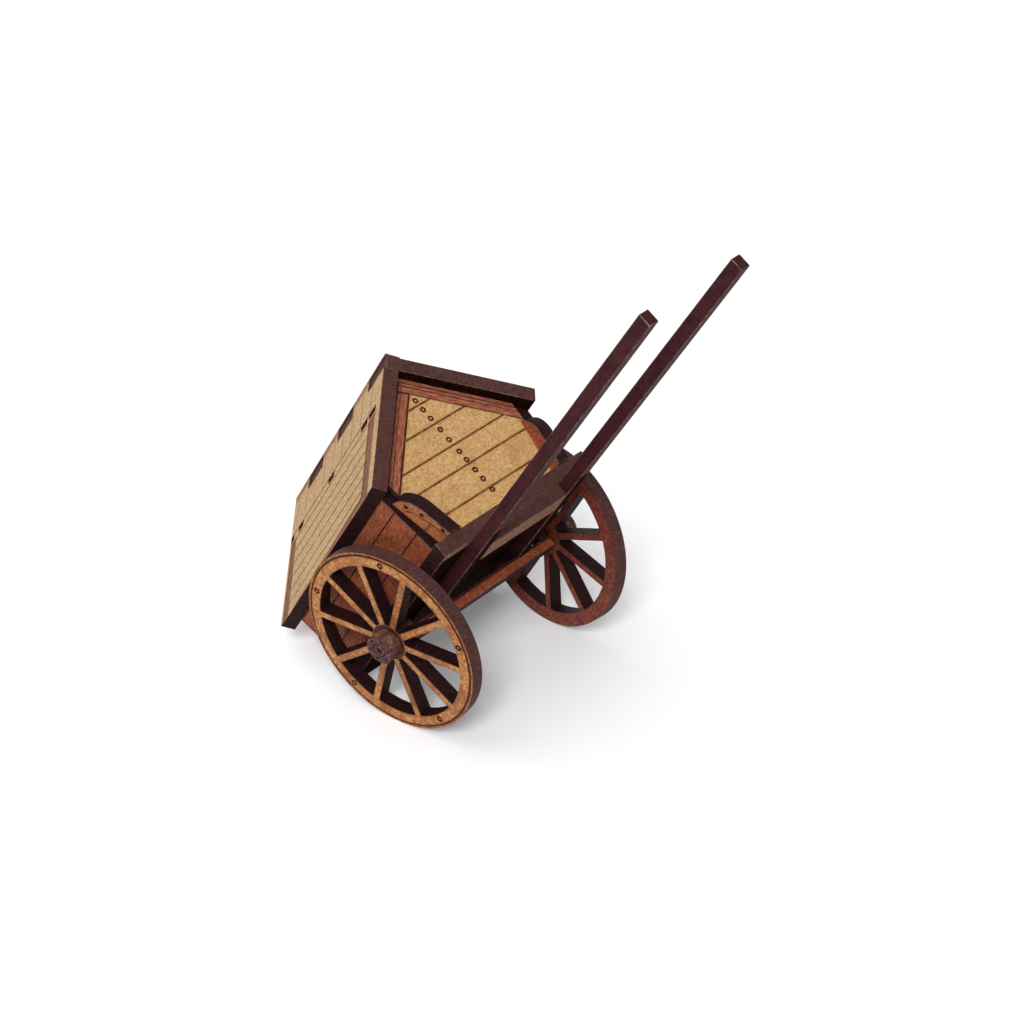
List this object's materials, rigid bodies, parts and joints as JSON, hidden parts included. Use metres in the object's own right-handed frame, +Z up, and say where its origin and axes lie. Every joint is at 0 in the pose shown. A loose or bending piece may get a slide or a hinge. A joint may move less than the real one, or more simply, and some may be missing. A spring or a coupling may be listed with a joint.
{
  "type": "scale model of a covered two-wheeled wooden handcart",
  "caption": "Laser-cut board model of a two-wheeled covered cart with a pitched roof and two shafts, parked tipped back on its tail, its spoked wheels free to turn.",
  "frame": {"origin": "on the floor, midway along the cart's length and width as it stands parked", "axes": "+X horizontally forward, the way the shafts lead, +Y to the cart's left, +Z up; the cart stands tipped back so that its shafts rise forward at about 58 degrees"},
  "size_m": [0.067, 0.0368, 0.0686],
  "materials": {
    "mdf_panel": "laser-engraved fibreboard, matt",
    "mdf_wheel": "laser-cut fibreboard browned by smoke, matt",
    "mdf_dark": "charred laser-cut edge, matt"
  },
  "bodies": {
    "cart": {"floor_board": "mdf_panel", "side_wall_right": "mdf_panel", "side_wall_left": "mdf_panel", "front_gable": "mdf_panel", "rear_gable": "mdf_panel", "cheek_right": "mdf_panel", "cheek_left": "mdf_panel", "roof_right": "mdf_panel", "roof_left": "mdf_panel", "shaft_right": "mdf_dark", "shaft_left": "mdf_dark", "shaft_crossbar": "mdf_dark", "axle_beam": "mdf_wheel"},
    "right_wheel": {"wheel_right": "mdf_wheel", "hub_cap_right": "mdf_dark"},
    "left_wheel": {"wheel_left": "mdf_wheel", "hub_cap_left": "mdf_dark"}
  },
  "joints": [
    {"name": "right_wheel_spin", "type": "hinge", "parent": "cart", "child": "right_wheel", "pos_m": [-0.00053, -0.0152, 0.01303], "axis": [-0.0892, 0.9945, 0.0544], "continuous": true},
    {"name": "left_wheel_spin", "type": "hinge", "parent": "cart", "child": "left_wheel", "pos_m": [-0.00053, 0.0152, 0.01303], "axis": [0.0892, 0.9945, -0.0544], "continuous": true}
  ]
}
